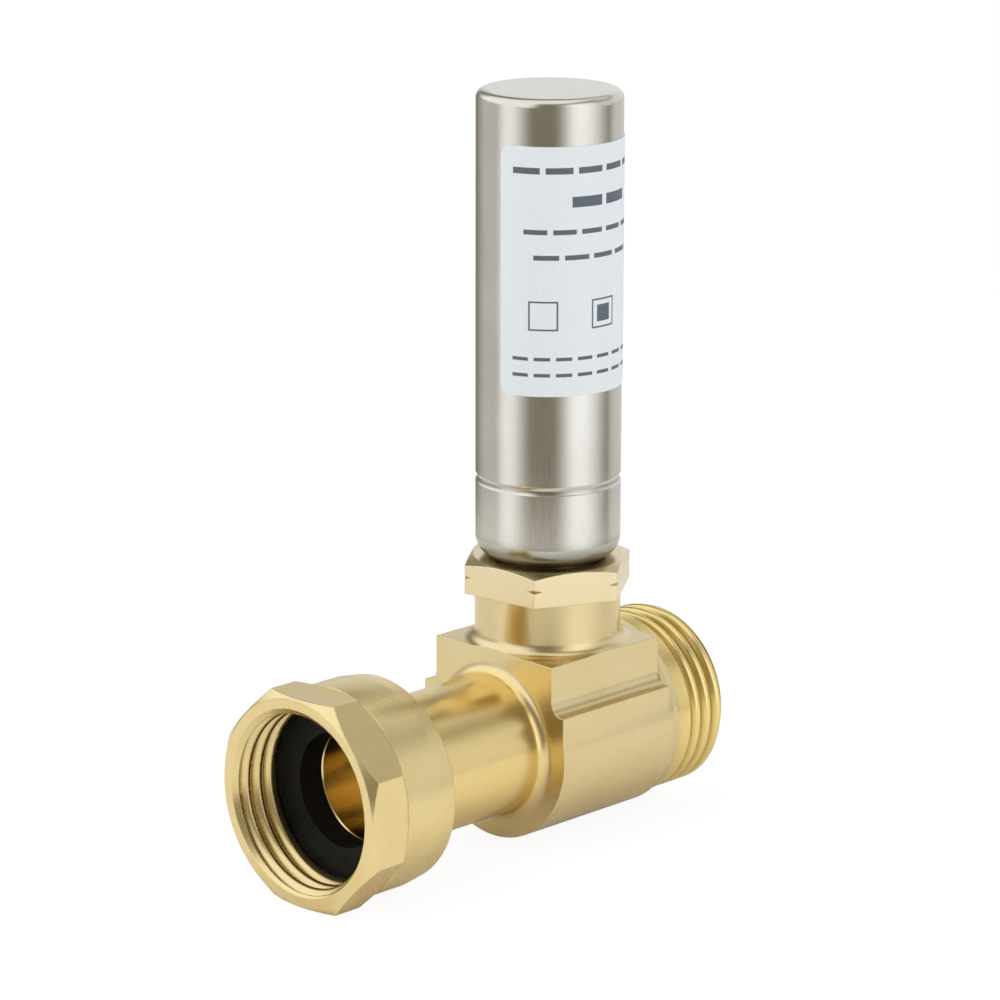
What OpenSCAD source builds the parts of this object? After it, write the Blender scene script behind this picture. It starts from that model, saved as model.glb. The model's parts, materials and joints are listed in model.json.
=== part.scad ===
// Water hammer arrestor for a hose tap: a forged brass tee with a swivel inlet nut,
// a male hose outlet and a sealed steel air chamber that stands on the branch.
// The origin is on the run axis, at the inner end of the inlet thread.
// +X points downstream to the outlet and +Z points up the air chamber.

/* [Run] */
// End of the inlet thread to branch axis
inlet_to_branch = 42.2; // [38:0.1:60]
// Branch axis to the end of the outlet
branch_to_outlet = 24; // [20:0.5:40]
// Bore of the water way
bore_d = 16.8; // [12:0.1:17.4]
// Outside of the tail between nut and tee
tail_d = 20.3; // [19.6:0.1:21]
// Flange that the nut pulls on
flange_d = 24.8; // [23:0.1:25]
// Thickness of that flange
flange_t = 1.5; // [1:0.1:3]

/* [Swivel nut] */
// Width across the eight flats
nut_flats = 30; // [29:0.1:36]
// Round skirt behind the flats
nut_skirt_d = 30.4; // [29.4:0.1:32]
// Front face to the end of the inlet thread
nut_socket = 7.3; // [6:0.1:12]
// Length of the flats
nut_flat_len = 6.75; // [5:0.05:8]
// Flat ring left on the front face, outside diameter
nut_face_d = 29.6; // [27.6:0.1:29.8]
// Angle of the bevel on the front corners
nut_front_angle = 40; // [20:1:45]
// Angle of the bevel behind the corners
nut_rear_angle = 50; // [30:1:60]
// Step from that bevel up to the skirt
nut_step = 0.2; // [0.1:0.05:0.4]
// Shoulder behind the flange
nut_shoulder_t = 1.8; // [1.2:0.1:4]
// Length of the taper at the back of the skirt
nut_taper_len = 2.9; // [1:0.1:3.5]
// Drop of that taper, on the radius
nut_taper_drop = 0.4; // [0.2:0.1:1]
// Internal hose thread, minor diameter
inlet_thread_d = 24.9; // [24.6:0.1:25.2]
// Mouth of the lead-in to that thread
inlet_mouth_d = 26.8; // [26:0.1:27.2]
// Relief behind the thread that the washer sits in
nut_relief_d = 26.4; // [26.2:0.1:27.2]

/* [Hose thread] */
// Pitch, 11.5 turns to the inch
thread_pitch = 2.21; // [2.1:0.01:3]
// Angle of each flank to a cut straight across
thread_flank = 30; // [20:1:32]
// Flat at the root
thread_root = 0.2; // [0.1:0.02:0.3]
// Depth of the external thread
outlet_thread_depth = 0.95; // [0.6:0.05:1.3]
// Plain shank from the barrel's bevel to the middle of the first root
outlet_shank = 3.3; // [2:0.05:4]
// Depth of the internal thread
inlet_thread_depth = 1.1; // [0.6:0.05:1.2]
// Lead-in to the middle of the first root
inlet_lead_land = 2.65; // [1.2:0.05:3]

/* [Hose washer] */
// End of the inlet thread to the washer's face
washer_lead = 1; // [0.5:0.1:2]
// Outside of the washer
washer_d = 26; // [25:0.1:26]
// Hole in the washer
washer_hole_d = 16.6; // [16:0.1:18]
// Thickness of the washer
washer_t = 4.1; // [3:0.1:4.5]

/* [Tee] */
// Round barrel of the tee
barrel_d = 28.2; // [27.8:0.1:34]
// Length of the block along the run
body_len = 22.2; // [21.6:0.1:28]
// Width of the block across the run
block_w = 23; // [21.6:0.1:24]
// Block top above the run axis
block_top = 13.5; // [12.8:0.1:16]
// Ledges at the foot of the block's sides, above the run axis
ledge_z = 6.45; // [5:0.05:8]
// Width over the ledges
ledge_w = 27.7; // [26.8:0.1:27.8]
// Fillet above the ledge
ledge_fillet = 1.8; // [0.5:0.1:2]
// Round collar of the branch
collar_d = 21; // [20:0.1:21.4]
// Height of the collar above the block
collar_h = 7.6; // [5:0.1:14]
// Fillets at the collar's foot and at the tail
forge_fillet = 1.7; // [0.6:0.1:2]

/* [Outlet] */
// External hose thread, major diameter
outlet_thread_d = 26.9; // [26.4:0.1:27]
// Chamfer at the end of the thread
outlet_chamfer = 1; // [0.4:0.1:1.5]
// Round barrel past the block
barrel_land = 1; // [0.4:0.1:2]
// Length of the bevel from barrel to thread
barrel_bevel = 1.4; // [0.5:0.1:2]
// Break on the edges of the water way
bore_break = 0.4; // [0.2:0.1:0.6]

/* [Base plug] */
// Width across the hexagon
hex_flats = 22; // [21:0.1:26]
// Height of the hexagon
hex_h = 4.8; // [4:0.1:8]
// Turn of the hexagon about the branch
hex_turn = 35; // [0:1:60]
// Angle of the bevel on the hexagon's top
hex_bevel_angle = 20; // [10:1:30]
// Flat ring left on top of the hexagon, outside diameter
hex_face_d = 21.4; // [19:0.1:22]
// Nick ring above the foot of the hexagon
nick_z = 2.4; // [1.5:0.1:3]
// Height of the nick ring
nick_h = 0.6; // [0.4:0.1:1]
// Depth of the nicks in the corners
nick_depth = 0.63; // [0.3:0.01:0.9]
// Threaded stem in the branch
stem_d = 16; // [13:0.1:17]
// Length of that stem
stem_len = 10.4; // [6:0.1:12]
// Hole through the plug
plug_hole_d = 9; // [5:0.1:10]
// Height of the plug above its hexagon
plug_h = 14.3; // [13.6:0.1:20]

/* [Air chamber] */
// Outside of the chamber
chamber_d = 20.8; // [20:0.1:24]
// Wall of the chamber
chamber_wall = 0.7; // [0.5:0.05:1]
// Height from the rolled rim to the top
chamber_h = 67.2; // [62:0.1:110]
// Outside radius at the top edge
chamber_round = 1.3; // [1.1:0.1:3]
// Outside radius of the rolled rim
rim_roll = 3.2; // [2.6:0.1:3.6]
// Hole inside the rolled rim
rim_hole_d = 16.9; // [16.2:0.1:17.6]
// Crimp above the hexagon
crimp_z = 11.7; // [11:0.1:12.2]
// Depth of the crimp
crimp_depth = 0.25; // [0.1:0.05:0.4]
// Radius of the rolling tool that made the crimp
crimp_roll = 1; // [0.7:0.1:1.2]

/* [Piston and seals] */
// Length of the piston
piston_len = 18; // [12:0.1:20]
// Hollow on the water side of the piston
piston_hollow_d = 11; // [6:0.1:13]
// Depth of that hollow
piston_hollow_len = 11; // [2:0.1:11]
// Section of the sealing rings
ring_d = 1.8; // [1.4:0.1:2]
// Base ring above the hexagon
base_ring_z = 6.6; // [5.5:0.1:8]
// Piston rings from the ends of the piston
piston_ring_inset = 3.5; // [2:0.1:5]

/* [Label] */
// Foot of the label above the hexagon
label_z = 25.5; // [14:0.1:27]
// Height of the label
label_h = 35.3; // [20:0.1:36]
// Turn that the label wraps around the chamber
label_wrap = 172; // [90:1:300]
// Thickness of the label
label_t = 0.12; // [0.08:0.01:0.3]

/* [Clearances] */
// Neck of the plug in the rolled rim, on the radius
rim_gap = 0.25; // [0.1:0.05:0.4]
// Sealing rings in their grooves, along the axis
groove_gap = 0.3; // [0.1:0.05:0.5]
// Nut to tail, on the radius
swivel_gap = 0.3; // [0.2:0.05:0.5]
// Between flat faces that turn or rest on each other
seat_gap = 0.1; // [0.05:0.01:0.2]
// Between pieces that slide into each other, on the radius
slip = 0.05; // [0.03:0.01:0.1]

/* [Hidden] */
$fn = 96;
eps = 1;
nut_sides = 8;
hex_sides = 6;

// Stations along the run
flange_x = washer_lead + washer_t + seat_gap;
shoulder_x = flange_x + flange_t + seat_gap;
nut_front = -nut_socket;
nut_back = shoulder_x + nut_shoulder_t;
flats_end = nut_front + nut_flat_len;
body_front = inlet_to_branch - body_len / 2;
body_back = inlet_to_branch + body_len / 2;
barrel_end = body_back + barrel_land;
thread_x = barrel_end + barrel_bevel;
outlet_end = inlet_to_branch + branch_to_outlet;

// Radii of the run
bore_r = bore_d / 2;
tail_r = tail_d / 2;
barrel_r = barrel_d / 2;
outlet_r = outlet_thread_d / 2;
nut_corner_r = nut_flats / 2 / cos(180 / nut_sides);
nut_skirt_r = nut_skirt_d / 2;
nut_clear_r = nut_corner_r + eps;
inlet_r = inlet_thread_d / 2;
inlet_lead = (inlet_mouth_d - inlet_thread_d) / 2;

// Roots of the hose threads: middle of the first one, half width at the crests, and how many fit
outlet_root_x = thread_x + outlet_shank;
outlet_root_half = thread_root / 2 + outlet_thread_depth * tan(thread_flank);
outlet_roots = 1 + floor((outlet_end - outlet_chamfer - outlet_root_half - outlet_root_x) / thread_pitch);
inlet_root_x = nut_front + inlet_lead + inlet_lead_land;
inlet_root_half = thread_root / 2 + inlet_thread_depth * tan(thread_flank);
inlet_roots = 1 + floor((-inlet_root_half - inlet_root_x) / thread_pitch);

// Levels along the branch
collar_top = block_top + collar_h;
hex_top = collar_top + hex_h;
stem_foot = collar_top - stem_len;
plug_top = hex_top + plug_h;
rim_z = hex_top + seat_gap;
chamber_top = rim_z + chamber_h;
piston_z = plug_top + seat_gap;

// Radii of the branch
collar_r = collar_d / 2;
stem_r = stem_d / 2;
branch_r = stem_r + slip;
hex_corner_r = hex_flats / 2 / cos(180 / hex_sides);
hex_clear_r = hex_corner_r + eps;
chamber_r = chamber_d / 2;
chamber_in_r = chamber_r - chamber_wall;
rim_hole_r = rim_hole_d / 2;
plug_r = chamber_in_r - slip;
neck_r = rim_hole_r - rim_gap;
piston_r = chamber_in_r - 2 * slip;
ring_r = chamber_in_r - slip - ring_d / 2;
groove_r = ring_r - ring_d / 2 - slip;
groove_w = ring_d + groove_gap;
crimp_r = chamber_r - crimp_depth + crimp_roll;

// Level of the rolled rim's centre, where its outside meets the rim's hole
roll_r = chamber_r - rim_roll;
roll_z = rim_z + sqrt(pow(rim_roll, 2) - pow(rim_hole_r - roll_r, 2));

brass = "#d8c38e";
steel = "#b9b7ae";
rubber = "#1c1b18";
acetal = "#e6e2d6";
paper = "#dbe3ea";

// Lays a shape that stands along Z down along the run
module on_run(x = 0) {
    translate([x, 0, 0]) rotate([0, 90, 0]) children();
}

// Stands a shape on the branch axis
module on_branch(z = 0) {
    translate([inlet_to_branch, 0, z]) children();
}

// Section of a concave fillet in the corner at the origin, for revolving or extruding
module fillet_section(r) {
    difference() {
        square(r);
        translate([r, r]) circle(r);
    }
}

// Ring of round section about Z
module o_ring(r, d) {
    rotate_extrude() translate([r, 0]) circle(d = d);
}

// Rectangular groove cut around Z, centred on the level z
module ring_groove(z) {
    difference() {
        translate([0, 0, z - groove_w / 2]) cylinder(h = groove_w, r = chamber_r);
        translate([0, 0, z - groove_w]) cylinder(h = 2 * groove_w, r = groove_r);
    }
}

// Conical break on the edge of a hole that opens downwards at the origin
module edge_break(r, size) {
    translate([0, 0, -eps]) cylinder(h = eps, r = r + size);
    cylinder(h = size, r1 = r + size, r2 = r);
}

// Thread roots as rings about Z, from the crest radius r to a depth that is negative for an internal thread
module thread_roots(r, depth, half, count) {
    past = sign(depth) * thread_root;
    wide = half + thread_root * tan(thread_flank);
    for (turn = [0 : count - 1]) translate([0, 0, turn * thread_pitch])
        rotate_extrude() polygon([
            [r - depth, -thread_root / 2],
            [r + past, -wide],
            [r + past, wide],
            [r - depth, thread_root / 2]]);
}

// Cross-section of barrel and block: the block's sides drop to ledges, whose upright sides run into the barrel
module body_section() {
    difference() {
        circle(barrel_r);
        translate([-barrel_d, ledge_z]) square([2 * barrel_d, barrel_d]);
    }
    translate([-ledge_w / 2, 0]) square([ledge_w, ledge_z]);
    translate([-block_w / 2, 0]) square([block_w, block_top]);
    for (side = [0, 1]) mirror([side, 0])
        translate([block_w / 2, ledge_z]) fillet_section(ledge_fillet);
}

// Collar with its filleted foot, trimmed to the block's top
module collar() {
    on_branch() cylinder(h = collar_top, r = collar_r);
    intersection() {
        on_branch(block_top) rotate_extrude() translate([collar_r, 0]) fillet_section(forge_fillet);
        translate([body_front, -block_w / 2, 0]) cube([body_len, block_w, collar_top]);
    }
}

// Forged tee: flanged tail, barrel with block and collar, threaded outlet
module tee_body() {
    color(brass) difference() {
        union() {
            on_run(flange_x) cylinder(h = flange_t, d = flange_d);
            on_run(flange_x) cylinder(h = body_front - flange_x, r = tail_r);
            on_run(body_front) mirror([0, 0, 1]) rotate_extrude()
                translate([tail_r, 0]) fillet_section(forge_fillet);
            translate([body_front, 0, 0]) rotate([90, 0, 90]) linear_extrude(body_len) body_section();
            on_run(body_back) cylinder(h = barrel_land, r = barrel_r);
            on_run(barrel_end) cylinder(h = barrel_bevel, r1 = barrel_r, r2 = outlet_r);
            on_run(thread_x) cylinder(h = outlet_end - outlet_chamfer - thread_x, r = outlet_r);
            on_run(outlet_end - outlet_chamfer)
                cylinder(h = outlet_chamfer, r1 = outlet_r, r2 = outlet_r - outlet_chamfer);
            collar();
        }
        on_run(flange_x - eps) cylinder(h = outlet_end - flange_x + 2 * eps, r = bore_r);
        on_run(flange_x) edge_break(bore_r, bore_break);
        on_run(outlet_end) mirror([0, 0, 1]) edge_break(bore_r, bore_break);
        on_run(outlet_root_x) thread_roots(outlet_r, outlet_thread_depth, outlet_root_half, outlet_roots);
        on_branch(stem_foot - seat_gap) cylinder(h = collar_top, r = branch_r);
        on_branch() cylinder(h = collar_top, d = plug_hole_d);
    }
}

// Eight-sided nut with a round skirt, turning on the tail's flange
module swivel_nut() {
    color(brass) on_run() difference() {
        union() {
            intersection() {
                translate([0, 0, nut_front]) rotate(180 / nut_sides)
                    cylinder(h = nut_flat_len, r = nut_corner_r, $fn = nut_sides);
                rotate_extrude() polygon([
                    [0, nut_front],
                    [nut_face_d / 2, nut_front],
                    [nut_clear_r, nut_front + (nut_clear_r - nut_face_d / 2) * tan(nut_front_angle)],
                    [nut_clear_r, flats_end - nut_step - (nut_clear_r - nut_skirt_r) / tan(nut_rear_angle)],
                    [nut_skirt_r - nut_step * tan(nut_rear_angle), flats_end],
                    [0, flats_end]]);
            }
            translate([0, 0, flats_end])
                cylinder(h = nut_back - nut_taper_len - flats_end, r = nut_skirt_r);
            translate([0, 0, nut_back - nut_taper_len])
                cylinder(h = nut_taper_len, r1 = nut_skirt_r, r2 = nut_skirt_r - nut_taper_drop);
        }
        translate([0, 0, nut_front]) edge_break(inlet_r, inlet_lead);
        translate([0, 0, nut_front]) cylinder(h = nut_socket, r = inlet_r);
        translate([0, 0, inlet_root_x]) thread_roots(inlet_r, -inlet_thread_depth, inlet_root_half, inlet_roots);
        cylinder(h = shoulder_x, d = nut_relief_d);
        cylinder(h = nut_back + eps, r = tail_r + swivel_gap);
    }
}

// Flat washer in the bottom of the nut
module hose_washer() {
    color(rubber) on_run(washer_lead) difference() {
        cylinder(h = washer_t, d = washer_d);
        translate([0, 0, -eps]) cylinder(h = washer_t + 2 * eps, d = washer_hole_d);
    }
}

// Turned plug: threaded stem, hexagon with nicked corners and the seat of the chamber
module base_plug() {
    color(brass) on_branch() difference() {
        union() {
            translate([0, 0, stem_foot]) cylinder(h = stem_len + hex_h / 2, r = stem_r);
            intersection() {
                translate([0, 0, collar_top]) rotate(hex_turn)
                    cylinder(h = hex_h, r = hex_corner_r, $fn = hex_sides);
                rotate_extrude() polygon([
                    [0, collar_top],
                    [hex_clear_r, collar_top],
                    [hex_clear_r, hex_top - (hex_clear_r - hex_face_d / 2) * tan(hex_bevel_angle)],
                    [hex_face_d / 2, hex_top],
                    [0, hex_top]]);
            }
            translate([0, 0, collar_top + hex_h / 2]) cylinder(h = roll_z - collar_top - hex_h / 2, r = neck_r);
            translate([0, 0, roll_z - (plug_r - neck_r)])
                cylinder(h = plug_r - neck_r, r1 = neck_r, r2 = plug_r);
            translate([0, 0, roll_z]) cylinder(h = plug_top - roll_z, r = plug_r);
        }
        translate([0, 0, stem_foot - eps]) cylinder(h = plug_top - stem_foot + 2 * eps, d = plug_hole_d);
        translate([0, 0, collar_top + nick_z]) rotate_extrude() polygon([
            [hex_corner_r - nick_depth, 0],
            [hex_corner_r, -nick_h / 2],
            [hex_corner_r + eps, -nick_h / 2],
            [hex_corner_r + eps, nick_h / 2],
            [hex_corner_r, nick_h / 2]]);
        ring_groove(hex_top + base_ring_z);
        translate([0, 0, hex_top + crimp_z]) o_ring(crimp_r, 2 * (crimp_roll + chamber_wall + slip));
    }
}

// Ring that seals the plug in the chamber
module base_ring() {
    color(rubber) on_branch(hex_top + base_ring_z) o_ring(ring_r, ring_d);
}

// Half-section of the chamber's outside, or of its inside when wall is its thickness
module chamber_section(wall) {
    round_r = chamber_round - wall;
    roll = rim_roll - wall;
    top = chamber_top - wall;
    translate([0, roll_z]) square([chamber_r - wall, top - round_r - roll_z]);
    translate([0, top - round_r]) square([chamber_r - wall - round_r, round_r]);
    intersection() {
        translate([chamber_r - wall - round_r, top - round_r]) circle(round_r);
        translate([0, top - round_r]) square([chamber_r, round_r]);
    }
    intersection() {
        union() {
            translate([roll_r, roll_z]) circle(roll);
            translate([0, roll_z - roll]) square([roll_r, roll]);
        }
        translate([0, roll_z - roll]) square([chamber_r, roll]);
    }
}

// Drawn steel chamber: domed edge, rolled rim under the plug's shoulder and a crimp above it
module chamber() {
    color(steel) on_branch() rotate_extrude() difference() {
        union() {
            difference() {
                chamber_section(0);
                chamber_section(chamber_wall);
            }
            intersection() {
                translate([crimp_r, hex_top + crimp_z]) circle(crimp_roll + chamber_wall);
                translate([0, roll_z]) square([chamber_r, chamber_h]);
            }
        }
        square([rim_hole_r, roll_z]);
        translate([crimp_r, hex_top + crimp_z]) circle(crimp_roll);
    }
}

// Piston between water and air, with a ring groove near each end
module piston() {
    color(acetal) on_branch(piston_z) difference() {
        cylinder(h = piston_len, r = piston_r);
        translate([0, 0, -eps]) cylinder(h = piston_hollow_len + eps, d = piston_hollow_d);
        ring_groove(piston_ring_inset);
        ring_groove(piston_len - piston_ring_inset);
    }
}

module piston_ring_lower() {
    color(rubber) on_branch(piston_z + piston_ring_inset) o_ring(ring_r, ring_d);
}

module piston_ring_upper() {
    color(rubber) on_branch(piston_z + piston_len - piston_ring_inset) o_ring(ring_r, ring_d);
}

// Bare label wrapped around the side of the chamber that faces -Y
module label() {
    color(paper) on_branch(hex_top + label_z) rotate(-90 - label_wrap / 2)
        rotate_extrude(angle = label_wrap) translate([chamber_r, 0]) square([label_t, label_h]);
}

tee_body();
swivel_nut();
hose_washer();
base_plug();
base_ring();
chamber();
piston();
piston_ring_lower();
piston_ring_upper();
label();
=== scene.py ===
"""Looks of the water hammer arrestor.

Cut hose threads, satin brass, brushed steel, rubber and a plain label.
"""

import json
import math

import bmesh
import bpy
from mathutils import Matrix, Vector


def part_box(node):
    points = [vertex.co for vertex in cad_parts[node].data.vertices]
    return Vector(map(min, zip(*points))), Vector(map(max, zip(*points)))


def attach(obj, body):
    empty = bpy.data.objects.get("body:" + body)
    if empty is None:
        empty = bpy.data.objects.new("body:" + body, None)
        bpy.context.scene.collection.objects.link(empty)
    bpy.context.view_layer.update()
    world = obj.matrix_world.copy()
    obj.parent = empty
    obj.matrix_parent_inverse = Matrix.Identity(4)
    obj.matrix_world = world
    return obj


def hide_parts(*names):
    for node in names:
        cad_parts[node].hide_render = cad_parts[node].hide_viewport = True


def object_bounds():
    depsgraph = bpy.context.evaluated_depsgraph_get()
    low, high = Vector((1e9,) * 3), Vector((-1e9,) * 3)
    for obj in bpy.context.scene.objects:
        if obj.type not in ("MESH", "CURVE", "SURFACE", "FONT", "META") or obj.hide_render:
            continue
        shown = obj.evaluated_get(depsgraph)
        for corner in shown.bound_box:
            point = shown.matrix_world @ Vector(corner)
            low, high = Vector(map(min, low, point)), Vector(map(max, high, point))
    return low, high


MM = 0.001

# Standard hose thread: 11.5 turns to the inch, 60 degree flanks, a narrow root and worn, rounded crests
THREAD_PITCH = 25.4 / 11.5 * MM
THREAD_FLANK = math.radians(30)
HALF_ROOT = 0.1 * MM
SHOULDER_FLANK = math.radians(55)
SHOULDER_DEPTH = 0.22 * MM
OUTLET_DEPTH = 0.95 * MM
INLET_DEPTH = 1.1 * MM
THREAD_OVERCUT = 0.1 * MM
STEPS_PER_TURN = 96
# Start of each threaded wall to its first root, taken at the top of the ring
OUTLET_SHANK = 2.85 * MM
INLET_LAND = 3.2 * MM
# Turns that the nut's cutter starts before its first root, out through the mouth
INLET_RUN_IN = 3
# How far the outlet's thread takes to fade out on its shank, and the most its cutter lifts, in thread depths
RUN_OUT = 1.2 * MM
LIFT_LIMIT = 1.4
# The sleeve that fills the ring-shaped roots stands proud of the crests by this
SLEEVE_PROUD = 0.015 * MM
SLEEVE_MARGIN = 0.4 * MM
# Corners closer than this are joined
NODE_MERGE = 0.0005 * MM
SLEEVE_MERGE = 0.001 * MM
# Edges sharper than this stay crisp
THREAD_CREASE = math.radians(38)
LABEL_CREASE = math.radians(40)

# Label: corners as cut, and how finely it is bent around the chamber
LABEL_CORNER = 1.4 * MM
CORNER_STEPS = 8
LABEL_BENDS = 60
# Its printed marks, in millimetres: gap between dashes, softness of edges, and the line of three squares
DASH_GAP = 0.8
PRINT_EDGE = 0.04
SQUARE_LEVEL = 11.5
SQUARE_STEP = 9.2
SQUARE_HALF = 2.1
SQUARE_LINE = 0.25
DOT_HALF = 1.2

# Camera: where it looks and from where, in the part's own frame
CAMERA_AIM = Vector((36.52, 4.04, 34.05)) * MM
CAMERA_DISTANCE = 613 * MM
CAMERA_AZIMUTH = math.radians(-45.62)
CAMERA_ELEVATION = math.radians(14.96)
CAMERA_ROLL = math.radians(0.106)
CAMERA_LENS = 154.63
CAMERA_SENSOR = 36
CAMERA_NEAR = 0.01
CAMERA_FAR = 20
# Bearing of the lit backdrop behind the part, from the camera towards the right
BACKDROP_TURN = math.radians(150)

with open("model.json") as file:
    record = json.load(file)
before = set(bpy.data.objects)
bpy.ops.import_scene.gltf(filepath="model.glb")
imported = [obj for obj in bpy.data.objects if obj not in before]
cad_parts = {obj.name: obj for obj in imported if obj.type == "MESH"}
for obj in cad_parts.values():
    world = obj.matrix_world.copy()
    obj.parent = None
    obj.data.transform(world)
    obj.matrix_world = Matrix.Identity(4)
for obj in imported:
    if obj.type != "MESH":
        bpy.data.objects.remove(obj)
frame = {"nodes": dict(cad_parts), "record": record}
cad_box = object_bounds()
nodes = frame["nodes"]
mounts = {mount["name"]: mount for mount in frame["record"]["mounts"]}


def bearing_way(azimuth, elevation):
    """Unit vector towards an azimuth and an elevation; azimuth 0 is the front."""
    flat = math.cos(elevation)
    return Vector((math.sin(azimuth) * flat, -math.cos(azimuth) * flat, math.sin(elevation)))


def outlet_thread():
    """Radius of the outlet's crests, radius of its roots, first root and end along the run."""
    outlet = mounts["outlet"]
    crest = outlet["dims"]["r_mm"] * MM
    half_length = outlet["dims"]["length_mm"] * MM / 2
    first = outlet["pos_m"][0] - half_length + OUTLET_SHANK
    return crest, crest - OUTLET_DEPTH, first, outlet["pos_m"][0] + half_length


# Shaders


def colour(red, green, blue):
    return (red, green, blue, 1.0)


# Brass: two tones that each surface drifts between, the tee's turned ends and thread, painted light in its
# bore, painted shade in the thread's roots, a painted highlight on its crests, and worn edges with a painted
# highlight
FORGED_TONES = colour(0.76, 0.617, 0.33), colour(0.785, 0.647, 0.37)
NUT_TONES = colour(0.83, 0.665, 0.32), colour(0.85, 0.695, 0.36)
PLUG_TONES = colour(0.80, 0.665, 0.40), colour(0.825, 0.695, 0.44)
TURNED_TONE = colour(0.89, 0.685, 0.29)
THREAD_TONE = colour(0.88, 0.67, 0.23)
# Painted shade in the outlet thread's roots
ROOT_SHADE_TONE = colour(0.46, 0.32, 0.08)
# Painted highlight on the outlet thread's crests
CREST_HIGHLIGHT_TONE = colour(0.94, 0.78, 0.38)
# Painted light in the tee's bore
BORE_PAINTED_LIGHT_TONE = colour(0.93, 0.79, 0.47)
# Edges, partly worn and partly a painted highlight
WORN_HIGHLIGHT_TONE = colour(0.86, 0.75, 0.50)
BRASS_CLOUD = 7 * MM
BRASS_EDGE = 0.2 * MM
# The tee's forged stretch along the run, how softly its finish ends, and its drilled bore, which is smoother
# and lit by painted light
FORGED_RUN = (31.1 * MM, 55.7 * MM)
TURNED_BLEND = 0.8 * MM
BORE_RADIUS = 8.4 * MM
BORE_BLEND = (0.1 * MM, 0.3 * MM)
# Painted shade in the outlet thread's roots: it starts below the crests, is full above the roots and ends
# under them
ROOT_SHADE_TOP = 0.15 * MM
ROOT_SHADE_FULL = 0.1 * MM
ROOT_SHADE_END = (0.1 * MM, 0.3 * MM)
# Skin of the crests that is smoother and carries a painted highlight
CREST_HIGHLIGHT_SKIN = (0.05 * MM, 0.25 * MM)

# Steel: two tones that it drifts between and the bright lines of its brush
STEEL_TONES = colour(0.67, 0.642, 0.575), colour(0.73, 0.702, 0.635)
BRUSH_TONE = colour(0.8, 0.79, 0.75)
STEEL_CLOUD = 9 * MM
BRUSH_WIDTH = 0.12 * MM
BRUSH_STRETCH = (1.0, 1.0, 0.03)
# Painted shade darkens it where the wall is pressed in, at the rolled foot and the crimp
PRESSED_SHADE_TONE = colour(0.20, 0.195, 0.165)
PRESSED_DEPTH = (0.08 * MM, 0.45 * MM)
PRESSED_RISE = (14 * MM, 16 * MM)
FOOT_RISE = (1.0 * MM, 4.4 * MM)

RUBBER_TONES = colour(0.006, 0.006, 0.005), colour(0.012, 0.012, 0.010)
RUBBER_BLOOM = 2.5 * MM
RUBBER_PORES = 0.18 * MM
ACETAL_TONES = colour(0.70, 0.68, 0.62), colour(0.78, 0.76, 0.71)
TURNING_WIDTH = 0.15 * MM
TURNING_STRETCH = (0.05, 0.05, 1.0)
FILM_TONES = colour(0.67, 0.72, 0.755), colour(0.70, 0.745, 0.775)
PRINT_TONE = colour(0.055, 0.07, 0.10)
FILM_FIBRE = 0.35 * MM

# The span of a noise over which one tone gives way to another
DRIFT = (0.3, 0.7)


class Value:
    """A socket of a shader tree; arithmetic on it adds Math nodes."""

    def __init__(self, finish, socket):
        self.finish = finish
        self.socket = socket

    def math(self, operation, first, second):
        return self.finish.node("ShaderNodeMath", {"operation": operation}, {0: first, 1: second})

    def __add__(self, other):
        return self.math("ADD", self, other)

    __radd__ = __add__

    def __sub__(self, other):
        return self.math("SUBTRACT", self, other)

    def __rsub__(self, other):
        return self.math("SUBTRACT", other, self)

    def __mul__(self, other):
        return self.math("MULTIPLY", self, other)

    __rmul__ = __mul__

    def __mod__(self, other):
        return self.math("MODULO", self, other)

    def at_most(self, other):
        return self.math("MINIMUM", self, other)

    def at_least(self, other):
        return self.math("MAXIMUM", self, other)

    def size(self):
        return self.math("ABSOLUTE", self, 0.0)

    def swing(self, amount):
        """Noise from 0 to 1 as a swing to both sides of nothing, so much in all."""
        return (self - 0.5) * amount

    def ramp(self, start, end, low=0.0, high=1.0):
        """Smooth step from low at start to high at end."""
        return self.finish.node(
            "ShaderNodeMapRange",
            {"interpolation_type": "SMOOTHSTEP"},
            {"Value": self, "From Min": start, "From Max": end, "To Min": low, "To Max": high},
        )


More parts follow.
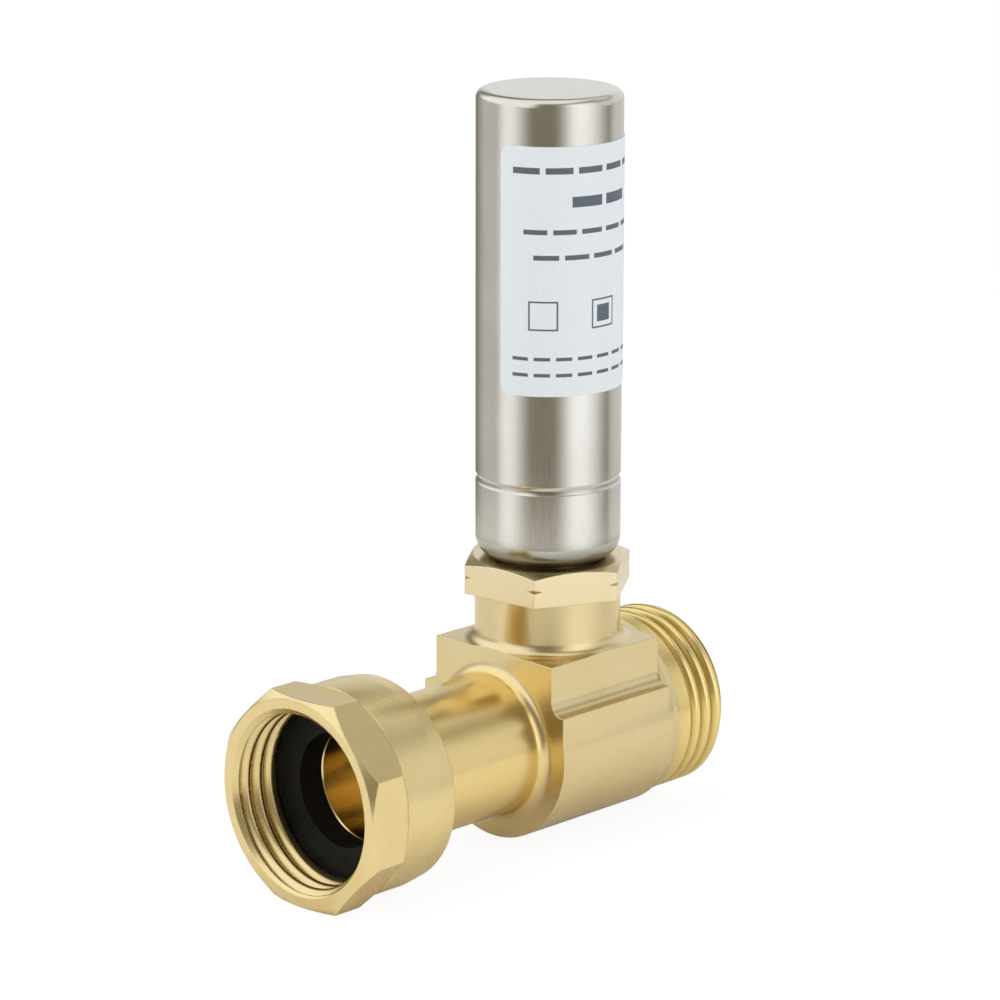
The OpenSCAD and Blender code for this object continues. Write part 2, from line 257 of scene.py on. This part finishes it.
class Finish:
    """The node tree of a material or a world, with the nodes that the finishes share."""

    def __init__(self, owner):
        owner.use_nodes = True
        self.owner = owner
        self.tree = owner.node_tree
        self.tree.nodes.clear()

    def node(self, kind, settings=None, inputs=None, output=0):
        made = self.tree.nodes.new(kind)
        for name, setting in (settings or {}).items():
            setattr(made, name, setting)
        for name, given in (inputs or {}).items():
            if isinstance(given, Value):
                self.tree.links.new(given.socket, made.inputs[name])
            else:
                made.inputs[name].default_value = given
        return Value(self, made.outputs[output]) if made.outputs else None

    def place(self):
        return self.node("ShaderNodeTexCoord", output="Object")

    def coordinate(self, vector, axis):
        return self.node("ShaderNodeSeparateXYZ", None, {"Vector": vector}, output=axis)

    def vector_math(self, operation, first, second, output):
        inputs = {0: first, 1: second}
        return self.node("ShaderNodeVectorMath", {"operation": operation}, inputs, output)

    def stretched(self, place, factors):
        return self.vector_math("MULTIPLY", place, factors, "Vector")

    def dot(self, first, second):
        return self.vector_math("DOT_PRODUCT", first, second, "Value")

    def distance(self, place, point):
        return self.vector_math("DISTANCE", place, point, "Value")

    def noise(self, place, size, detail=2.0):
        """Noise from 0 to 1 whose lumps are about one size across."""
        return self.node("ShaderNodeTexNoise", None, {"Vector": place, "Scale": 1 / size, "Detail": detail})

    def mix(self, factor, first, second):
        inputs = {"Factor": factor, "A": first, "B": second}
        return self.node("ShaderNodeMix", {"data_type": "RGBA"}, inputs, output="Result")

    def rounded(self, radius):
        """Normal with the edges rounded off, as tumbling leaves them."""
        return self.node("ShaderNodeBevel", {"samples": 6}, {"Radius": radius})

    def edges(self, rounded):
        """1 along outer and inner edges, 0 on open faces."""
        normal = self.node("ShaderNodeNewGeometry", output="Normal")
        return (1 - self.dot(rounded, normal)).ramp(0.0, 0.12)

    def bump(self, height, distance, strength, normal=None):
        inputs = {"Height": height, "Distance": distance, "Strength": strength}
        if normal:
            inputs["Normal"] = normal
        return self.node("ShaderNodeBump", None, inputs)

    def surface(self, **inputs):
        named = {name.replace("_", " "): given for name, given in inputs.items()}
        shader = self.node("ShaderNodeBsdfPrincipled", None, named)
        self.node("ShaderNodeOutputMaterial", None, {"Surface": shader})
        return self.owner


def satin_brass(name, tones, roughness, grain, grain_depth, forged_run=None):
    """Tumbled brass: slow changes of tone, a fine grain and brighter edges, partly worn and partly a painted
    highlight.

    Past the ends of a forged run it is turned: yellower, with a smooth bore lit by painted light and a
    duller thread with painted shade in its roots and a painted highlight on its crests.
    """
    finish = Finish(bpy.data.materials.new(name))
    place = finish.place()
    cloud = finish.noise(place, BRASS_CLOUD, 3.0)
    speckle = finish.noise(place, grain)
    rounded = finish.rounded(BRASS_EDGE)
    # Brighter edges: partly wear, partly a painted highlight
    worn_and_highlight = finish.edges(rounded)
    tone = finish.mix(cloud.ramp(*DRIFT), *tones)
    dull = roughness + cloud.swing(0.14) + speckle.swing(0.07) - worn_and_highlight * 0.05
    if forged_run:
        start, end = forged_run
        station = finish.coordinate(place, "X")
        off_axis = finish.distance(finish.stretched(place, (0, 1, 1)), (0, 0, 0))
        thread = station.ramp(end, end + TURNED_BLEND)
        turned = station.ramp(start, start - TURNED_BLEND).at_least(thread)
        # The bore is smoother and lightened with painted light
        smooth_bore_and_painted_light = off_axis.ramp(BORE_RADIUS + BORE_BLEND[1], BORE_RADIUS + BORE_BLEND[0])
        crest, root, first, _ = outlet_thread()
        cut = station.ramp(first - THREAD_PITCH, first)
        # Painted shade in the outlet thread's roots
        root_shade = cut * off_axis.ramp(crest - ROOT_SHADE_TOP, root + ROOT_SHADE_FULL)
        root_shade = root_shade * off_axis.ramp(root - ROOT_SHADE_END[1], root - ROOT_SHADE_END[0])
        # Painted highlight on the outlet thread's crests
        crest_highlight = cut * off_axis.ramp(crest - CREST_HIGHLIGHT_SKIN[1], crest - CREST_HIGHLIGHT_SKIN[0])
        tone = finish.mix(turned * 0.8, tone, TURNED_TONE)
        tone = finish.mix(thread * 0.75, tone, THREAD_TONE)
        tone = finish.mix(smooth_bore_and_painted_light * 0.7, tone, BORE_PAINTED_LIGHT_TONE)
        tone = finish.mix(root_shade * 0.65, tone, ROOT_SHADE_TONE)
        tone = finish.mix(crest_highlight * 0.5, tone, CREST_HIGHLIGHT_TONE)
        dull = dull + thread * 0.05 - smooth_bore_and_painted_light * 0.08 - crest_highlight * 0.06
        speckle = speckle * (1 - smooth_bore_and_painted_light)
    return finish.surface(
        # Edges lighter, partly wear and partly a painted highlight
        Base_Color=finish.mix(worn_and_highlight * 0.5, tone, WORN_HIGHLIGHT_TONE),
        Metallic=1.0,
        Roughness=dull,
        Normal=finish.bump(speckle, grain_depth, 0.35, rounded),
    )


def brushed_steel(name):
    """Drawn stainless tube with a fine lengthwise brush and a faint warm cast, and painted shade where
    pressed in.
    """
    finish = Finish(bpy.data.materials.new(name))
    place = finish.place()
    brush = finish.noise(finish.stretched(place, BRUSH_STRETCH), BRUSH_WIDTH)
    cloud = finish.noise(place, STEEL_CLOUD)
    tone = finish.mix(cloud.ramp(*DRIFT), *STEEL_TONES)
    tone = finish.mix(brush.ramp(0.55, 0.8, 0.0, 0.25), tone, BRUSH_TONE)
    low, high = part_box("chamber")
    level = finish.coordinate(place, "Z")
    axis = ((low.x + high.x) / 2, (low.y + high.y) / 2, 0)
    off_axis = finish.distance(finish.stretched(place, (1, 1, 0)), axis)
    radius = (high.x - low.x) / 2
    # Painted shade at the crimp, where the wall is pressed in, and at the rolled foot
    pressed_shade = off_axis.ramp(radius - PRESSED_DEPTH[0], radius - PRESSED_DEPTH[1])
    pressed_shade = pressed_shade * level.ramp(low.z + PRESSED_RISE[1], low.z + PRESSED_RISE[0])
    pressed_shade = pressed_shade.at_least(level.ramp(low.z + FOOT_RISE[1], low.z + FOOT_RISE[0]))
    return finish.surface(
        # Painted shade darkens the steel at the crimp and the foot
        Base_Color=finish.mix(pressed_shade * 0.85, tone, PRESSED_SHADE_TONE),
        Metallic=1.0,
        Roughness=0.17 + brush.swing(0.14) + cloud.swing(0.05) + pressed_shade * 0.08,
        Normal=finish.bump(brush, 0.004 * MM, 0.2),
    )


def black_rubber(name):
    """Moulded rubber: nearly black, matt, with a dusty bloom."""
    finish = Finish(bpy.data.materials.new(name))
    place = finish.place()
    bloom = finish.noise(place, RUBBER_BLOOM, 3.0)
    pores = finish.noise(place, RUBBER_PORES)
    return finish.surface(
        Base_Color=finish.mix(bloom.ramp(0.35, 0.75), *RUBBER_TONES),
        Roughness=0.5 + bloom.swing(0.2),
        Specular_IOR_Level=0.25,
        Normal=finish.bump(pores, 0.02 * MM, 0.4),
    )


def natural_acetal(name):
    """Machined acetal with faint turning marks."""
    finish = Finish(bpy.data.materials.new(name))
    turning = finish.noise(finish.stretched(finish.place(), TURNING_STRETCH), TURNING_WIDTH)
    return finish.surface(
        Base_Color=finish.mix(turning, *ACETAL_TONES),
        Roughness=0.42 + turning.swing(0.15),
        Normal=finish.bump(turning, 0.01 * MM, 0.3),
    )


def label_film(name, width, height):
    """Pale film with a few plain printed fields; its UV map is in millimetres from the lower left corner."""
    finish = Finish(bpy.data.materials.new(name))
    flat = finish.node("ShaderNodeUVMap", {"uv_map": "print"})
    across = finish.coordinate(flat, "X")
    up = finish.coordinate(flat, "Y")
    fibre = finish.noise(finish.place(), FILM_FIBRE, 3.0)

    def between(value, low, high):
        """1 from low to high, with crisp but not hard ends."""
        half = (high - low) / 2
        return (value - low - half).size().ramp(half + PRINT_EDGE, half - PRINT_EDGE)

    def square(centre, half):
        """Printed square on the line of squares."""
        upright = between(up, SQUARE_LEVEL - half, SQUARE_LEVEL + half)
        return between(across, centre - half, centre + half) * upright

    def dashes(level, thickness, margin, count):
        """Row of so many short bars between equal margins."""
        row = between(across, margin, width - margin) * between(up, level - thickness, level)
        step = (width - 2 * margin + DASH_GAP) / count
        dash = step - DASH_GAP
        return row * ((across - margin) % step).ramp(dash + PRINT_EDGE, dash - PRINT_EDGE)

    middle = width / 2
    marks = [
        dashes(level=height - 2.9, thickness=0.9, margin=2.0, count=6),
        dashes(level=height - 7.0, thickness=1.5, margin=middle - 5.2, count=2),
        dashes(level=height - 11.6, thickness=0.7, margin=3.6, count=6),
        dashes(level=height - 15.2, thickness=0.7, margin=5.0, count=5),
        dashes(level=5.6, thickness=0.5, margin=2.0, count=9),
        dashes(level=3.3, thickness=0.5, margin=2.0, count=9),
        square(middle, DOT_HALF),
    ]
    for centre in (middle - SQUARE_STEP, middle, middle + SQUARE_STEP):
        marks.append(square(centre, SQUARE_HALF) - square(centre, SQUARE_HALF - SQUARE_LINE))
    printed = marks[0]
    for mark in marks[1:]:
        printed = printed.at_least(mark)
    film = finish.mix(fibre.ramp(*DRIFT), *FILM_TONES)
    return finish.surface(
        Base_Color=finish.mix(printed * 0.94, film, PRINT_TONE),
        Roughness=0.42 + fibre.swing(0.1) + printed * 0.08,
        Normal=finish.bump(fibre, 0.01 * MM, 0.15),
    )


# Pieces


def as_mesh(name, shape):
    """Mesh of a finished bmesh, which is freed."""
    mesh = bpy.data.meshes.new(name)
    shape.to_mesh(mesh)
    shape.free()
    return mesh


def as_object(name, data):
    """Object in the scene that holds a mesh, a lamp or a camera."""
    made = bpy.data.objects.new(name, data)
    bpy.context.scene.collection.objects.link(made)
    return made


def add_piece(name, mesh, body, finish):
    piece = as_object(name, mesh)
    mesh.materials.clear()
    mesh.materials.append(finish)
    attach(piece, body)
    return piece


def smooth(mesh, crease):
    """Smooth shading that breaks at edges sharper than the crease."""
    mesh.shade_smooth()
    mesh.set_sharp_from_angle(angle=crease)


def merged_copy(node):
    """Copy of a node's mesh with its loose triangles joined."""
    shape = bmesh.new()
    shape.from_mesh(nodes[node].data)
    bmesh.ops.remove_doubles(shape, verts=shape.verts, dist=NODE_MERGE)
    mesh = as_mesh(node + "_merged", shape)
    mesh.attributes.remove(mesh.attributes["custom_normal"])
    return mesh


def ring_section(shape, points):
    """Closed outline of vertices and edges in the XZ plane, ready to spin about the run axis."""
    corners = [shape.verts.new((x, 0, z)) for x, z in points]
    sides = [shape.edges.new((corner, corners[i - 1])) for i, corner in enumerate(corners)]
    return corners + sides


def thread_cutter(root, crest, start, end):
    """Closed helix along the run from start to end, narrow at the root and flared at the crests."""
    outwards = math.copysign(1, crest - root)
    shoulder = crest - outwards * SHOULDER_DEPTH
    opening = crest + outwards * THREAD_OVERCUT
    half_shoulder = HALF_ROOT + abs(shoulder - root) * math.tan(THREAD_FLANK)
    half_opening = half_shoulder + (SHOULDER_DEPTH + THREAD_OVERCUT) * math.tan(SHOULDER_FLANK)
    half = [(half_opening, opening), (half_shoulder, shoulder), (HALF_ROOT, root)]
    near_side = [(start - x, r) for x, r in half]
    far_side = [(start + x, r) for x, r in reversed(half)]
    turns = (end - start) / THREAD_PITCH
    steps = round(turns * STEPS_PER_TURN)
    shape = bmesh.new()
    bmesh.ops.spin(
        shape,
        geom=ring_section(shape, near_side + far_side),
        cent=(0, 0, 0),
        axis=(1, 0, 0),
        dvec=((end - start) / steps, 0, 0),
        angle=math.tau * turns,
        steps=steps,
    )
    open_ends = [edge for edge in shape.edges if edge.is_boundary]
    bmesh.ops.holes_fill(shape, edges=open_ends, sides=len(near_side + far_side))
    bmesh.ops.recalc_face_normals(shape, faces=shape.faces)
    return shape


def fade_in(cutter, level, lift):
    """Lifts the cutter out of the metal before a level along the run."""
    for vert in cutter.verts:
        past = (level - vert.co.x) / RUN_OUT
        if past > 0:
            spoke = Vector((0, vert.co.y, vert.co.z))
            vert.co += spoke.normalized() * lift * min(past, LIFT_LIMIT)


def sleeve(inner, outer, start, end):
    """Plain ring about the run that fills the node's ring-shaped roots before the helix is cut."""
    shape = bmesh.new()
    bmesh.ops.spin(
        shape,
        geom=ring_section(shape, [(start, inner), (end, inner), (end, outer), (start, outer)]),
        cent=(0, 0, 0),
        axis=(1, 0, 0),
        angle=math.tau,
        steps=STEPS_PER_TURN,
        use_merge=True,
    )
    bmesh.ops.remove_doubles(shape, verts=shape.verts, dist=SLEEVE_MERGE)
    bmesh.ops.recalc_face_normals(shape, faces=shape.faces)
    return shape


def threaded(node, name, filler, cutter, body, finish):
    """The node with a true helix in place of its ring-shaped roots."""
    tools = {
        "UNION": as_object(name + "_sleeve", as_mesh(name + "_sleeve", filler)),
        "DIFFERENCE": as_object(name + "_cutter", as_mesh(name + "_cutter", cutter)),
    }
    blank = as_object(name + "_blank", merged_copy(node))
    for operation, tool in tools.items():
        step = blank.modifiers.new(operation, "BOOLEAN")
        step.operation = operation
        step.solver = "EXACT"
        step.object = tool
    seen = blank.evaluated_get(bpy.context.evaluated_depsgraph_get())
    mesh = bpy.data.meshes.new_from_object(seen)
    for thing in (blank, *tools.values()):
        bpy.data.objects.remove(thing)
    smooth(mesh, THREAD_CREASE)
    piece = add_piece(name, mesh, body, finish)
    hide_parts(node)


def cut_tee(finish):
    """Tee with its outlet thread, which starts past a plain shank and runs off the end."""
    crest, root, first, end = outlet_thread()
    filler = sleeve(root - SLEEVE_MARGIN, crest + SLEEVE_PROUD, first - THREAD_PITCH, end - SLEEVE_MARGIN)
    cutter = thread_cutter(root, crest, first - THREAD_PITCH, end + THREAD_PITCH)
    fade_in(cutter, first, OUTLET_DEPTH)
    threaded("tee_body", "tee_threaded", filler, cutter, "tee", finish)


def cut_nut(finish):
    """Nut with its internal thread, which runs through the mouth and into the washer's relief."""
    inlet = mounts["inlet"]
    crest = inlet["dims"]["r_mm"] * MM
    end = inlet["pos_m"][0]
    mouth = end - inlet["dims"]["length_mm"] * MM
    first = mouth + INLET_LAND
    root = crest + INLET_DEPTH
    filler = sleeve(crest - SLEEVE_PROUD, root + SLEEVE_MARGIN, mouth + SLEEVE_MARGIN, end - SLEEVE_MARGIN)
    cutter = thread_cutter(root, crest, first - INLET_RUN_IN * THREAD_PITCH, end + HALF_ROOT)
    threaded("swivel_nut", "swivel_nut_threaded", filler, cutter, "swivel", finish)


def wrap_label():
    """Rounded film bent around the chamber, standing on it at the label node's thickness."""
    low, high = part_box("label")
    chamber_low, chamber_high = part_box("chamber")
    axis_x = (chamber_low.x + chamber_high.x) / 2
    radius = (chamber_high.x - chamber_low.x) / 2
    thickness = -low.y - radius
    span = 2 * math.acos(min(1.0, -high.y / radius))
    width = span * radius
    height = high.z - low.z
    shape = bmesh.new()
    outline = ((0, 0), (width, 0), (width, height), (0, height))
    corners = [shape.verts.new((x, 0, z)) for x, z in outline]
    shape.faces.new(corners)
    bmesh.ops.bevel(
        shape,
        geom=corners,
        offset=LABEL_CORNER,
        affect="VERTICES",
        segments=CORNER_STEPS,
        profile=0.5,
        material=-1,
    )
    for bend in range(1, LABEL_BENDS):
        bmesh.ops.bisect_plane(
            shape,
            geom=shape.verts[:] + shape.edges[:] + shape.faces[:],
            plane_co=(width * bend / LABEL_BENDS, 0, 0),
            plane_no=(1, 0, 0),
        )
    prints = shape.loops.layers.uv.new("print")
    for face in shape.faces:
        for loop in face.loops:
            loop[prints].uv = (loop.vert.co.x / MM, loop.vert.co.z / MM)
    for vert in shape.verts:
        turn = -math.pi / 2 - span / 2 + vert.co.x / radius
        vert.co = Vector((
            axis_x + (radius + thickness) * math.cos(turn),
            (radius + thickness) * math.sin(turn),
            low.z + vert.co.z,
        ))
    bmesh.ops.recalc_face_normals(shape, faces=shape.faces)
    sample = shape.faces[:][0]
    middle = sample.calc_center_median()
    if sample.normal.dot(Vector((middle.x - axis_x, middle.y, 0))) < 0:
        bmesh.ops.reverse_faces(shape, faces=shape.faces)
    bmesh.ops.solidify(shape, geom=shape.faces[:], thickness=thickness)
    mesh = as_mesh("label_film", shape)
    smooth(mesh, LABEL_CREASE)
    finish = label_film("label_print", width / MM, height / MM)
    piece = add_piece("label_film", mesh, "tee", finish)
    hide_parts("label")


forged_brass = satin_brass("forged_brass", FORGED_TONES, 0.24, 0.22 * MM, 0.008 * MM, FORGED_RUN)
nut_brass = satin_brass("nut_brass", NUT_TONES, 0.28, 0.22 * MM, 0.003 * MM)
turned_brass = satin_brass("turned_brass", PLUG_TONES, 0.22, 0.18 * MM, 0.004 * MM)
steel = brushed_steel("brushed_steel")
rubber = black_rubber("black_rubber")
acetal = natural_acetal("natural_acetal")

cut_tee(forged_brass)
cut_nut(nut_brass)
wrap_label()

NODE_FINISHES = {
    "tee_body": forged_brass,
    "swivel_nut": nut_brass,
    "hose_washer": rubber,
    "base_plug": turned_brass,
    "base_ring": rubber,
    "chamber": steel,
    "piston": acetal,
    "piston_ring_lower": rubber,
    "piston_ring_upper": rubber,
}
for node, finish in NODE_FINISHES.items():
    nodes[node].data.materials.clear()
    nodes[node].data.materials.append(finish)


# Stage

# Floor: half its width, its matt tone, how white the camera sees it, and how far from the part metal sees it
FLOOR_SIZE = 3.0
FLOOR_TONE = colour(0.80, 0.785, 0.75)
FLOOR_GLOW = 1.06
FLOOR_WHITE = 0.86
FLOOR_REACH = (0.12, 0.20)
# Tent around the part: unlit cloth, lit panels, top and foot
TENT_DIM = colour(0.246, 0.226, 0.176)
TENT_LIT = colour(1.24, 1.27, 1.33)
TENT_TOP = colour(1.05, 1.05, 1.03)
TENT_FOOT = colour(0.72, 0.68, 0.60)
WHITE = colour(1, 1, 1)


def pale_floor():
    """Pale floor under the part: white to the camera and pale to the metal close by, with a faint shadow."""
    shape = bmesh.new()
    bmesh.ops.create_grid(shape, x_segments=1, y_segments=1, size=FLOOR_SIZE)
    bmesh.ops.translate(shape, verts=shape.verts, vec=(0, 0, cad_box[0].z))
    floor = as_object("floor", as_mesh("floor", shape))
    finish = Finish(bpy.data.materials.new("floor_white"))
    reach = finish.distance(finish.place(), (CAMERA_AIM.x, CAMERA_AIM.y, cad_box[0].z))
    matt = finish.node("ShaderNodeBsdfDiffuse", None, {"Color": FLOOR_TONE})
    white = finish.node("ShaderNodeEmission", None, {"Color": WHITE, "Strength": FLOOR_GLOW})
    nothing = finish.node("ShaderNodeBsdfTransparent")
    seen = finish.node("ShaderNodeLightPath", output="Is Camera Ray")
    glossy = finish.node("ShaderNodeLightPath", output="Is Glossy Ray")
    near = reach.ramp(FLOOR_REACH[1], FLOOR_REACH[0])
    shown = finish.node("ShaderNodeMixShader", None, {0: seen * FLOOR_WHITE, 1: matt, 2: white})
    sweep = finish.node("ShaderNodeMixShader", None, {0: near, 1: nothing, 2: matt})
    mixed = finish.node("ShaderNodeMixShader", None, {0: glossy, 1: shown, 2: sweep})
    finish.node("ShaderNodeOutputMaterial", None, {"Surface": mixed})
    floor.data.materials.append(finish.owner)


def studio_world():
    """White to the camera; in reflections soft panels left, right, behind and above, and a dim front."""
    world = bpy.data.worlds.new("studio")
    bpy.context.scene.world = world
    finish = Finish(world)
    way = finish.node("ShaderNodeTexCoord", output="Generated")
    front = bearing_way(CAMERA_AZIMUTH, 0)
    right = Vector((-front.y, front.x, 0))
    backdrop = front * math.cos(BACKDROP_TURN) + right * math.sin(BACKDROP_TURN)
    height = finish.dot(way, Vector((0, 0, 1)))
    sides = {0: finish.dot(way, right), 1: finish.dot(way, front)}
    turn = finish.node("ShaderNodeMath", {"operation": "ARCTAN2"}, sides) * math.degrees(1)

    def panel(bearing, core, front_fade, back_fade):
        """Upright soft panel, in degrees: full within its core, with a fade to the front and to the back."""
        side = math.copysign(1, bearing)
        to_front = (bearing - turn) * side
        to_back = (turn - bearing) * side
        return to_front.ramp(core + front_fade, core).at_most(to_back.ramp(core + back_fade, core))

    main_left = panel(bearing=-68, core=2, front_fade=42, back_fade=36) * 0.9
    main_right = panel(bearing=49, core=3, front_fade=41, back_fade=64)
    left_side = panel(bearing=-100, core=15, front_fade=30, back_fade=45) * 0.37
    upright = main_left.at_least(main_right).at_least(left_side) * height.ramp(0.84, 0.62)
    behind = finish.dot(way, backdrop).ramp(0.62, 0.88)
    behind = behind * height.ramp(-0.3, 0.2, 0.42, 0.64) * height.ramp(0.62, 0.42)
    raised_left = panel(bearing=-85, core=45, front_fade=25, back_fade=30) * height.ramp(0.08, 0.25) * 0.9
    right_side = panel(bearing=85, core=20, front_fade=25, back_fade=35) * 0.54
    right_side = right_side * height.ramp(-0.2, 0.05) * height.ramp(0.7, 0.4)
    raised_right = panel(bearing=138, core=12, front_fade=35, back_fade=30) * height.ramp(0.45, 0.65) * 0.5
    lit = upright.at_least(behind).at_least(raised_left).at_least(right_side).at_least(raised_right)
    tent = finish.mix(lit, TENT_DIM, TENT_LIT)
    tent = finish.mix(height.ramp(0.78, 0.96), tent, TENT_TOP)
    tent = finish.mix(height.ramp(-0.35, -0.8), tent, TENT_FOOT)
    reflected = finish.node("ShaderNodeBackground", None, {"Color": tent, "Strength": 1.0})
    white = finish.node("ShaderNodeBackground", None, {"Color": WHITE, "Strength": 1.0})
    seen = finish.node("ShaderNodeLightPath", output="Is Camera Ray")
    mixed = finish.node("ShaderNodeMixShader", None, {0: seen, 1: reflected, 2: white})
    finish.node("ShaderNodeOutputWorld", None, {"Surface": mixed})


def soft_lamp(name, azimuth, elevation, distance, size, power):
    """Square soft box aimed at the part; it lights matt surfaces and leaves the metal to the tent."""
    lamp = bpy.data.lights.new(name, "AREA")
    lamp.shape = "SQUARE"
    lamp.size = size
    lamp.energy = power
    holder = as_object(name, lamp)
    back = bearing_way(math.radians(azimuth), math.radians(elevation))
    holder.location = CAMERA_AIM + back * distance
    holder.rotation_euler = back.to_track_quat("Z", "Y").to_euler()
    holder.visible_glossy = False


def photograph_camera():
    """Camera at the photograph's viewing angle."""
    camera = as_object("camera", bpy.data.cameras.new("camera"))
    camera.data.lens = CAMERA_LENS
    camera.data.sensor_width = CAMERA_SENSOR
    camera.data.clip_start = CAMERA_NEAR
    camera.data.clip_end = CAMERA_FAR
    back = bearing_way(CAMERA_AZIMUTH, CAMERA_ELEVATION)
    camera.location = CAMERA_AIM + back * CAMERA_DISTANCE
    turned = back.to_track_quat("Z", "Y").to_matrix() @ Matrix.Rotation(CAMERA_ROLL, 3, "Z")
    camera.rotation_euler = turned.to_euler()
    bpy.context.scene.camera = camera


pale_floor()
studio_world()
soft_lamp("key", azimuth=-100, elevation=45, distance=0.8, size=0.5, power=2.2)
soft_lamp("fill", azimuth=15, elevation=35, distance=0.8, size=0.5, power=2.0)
photograph_camera()
bpy.context.scene.view_settings.view_transform = "Standard"
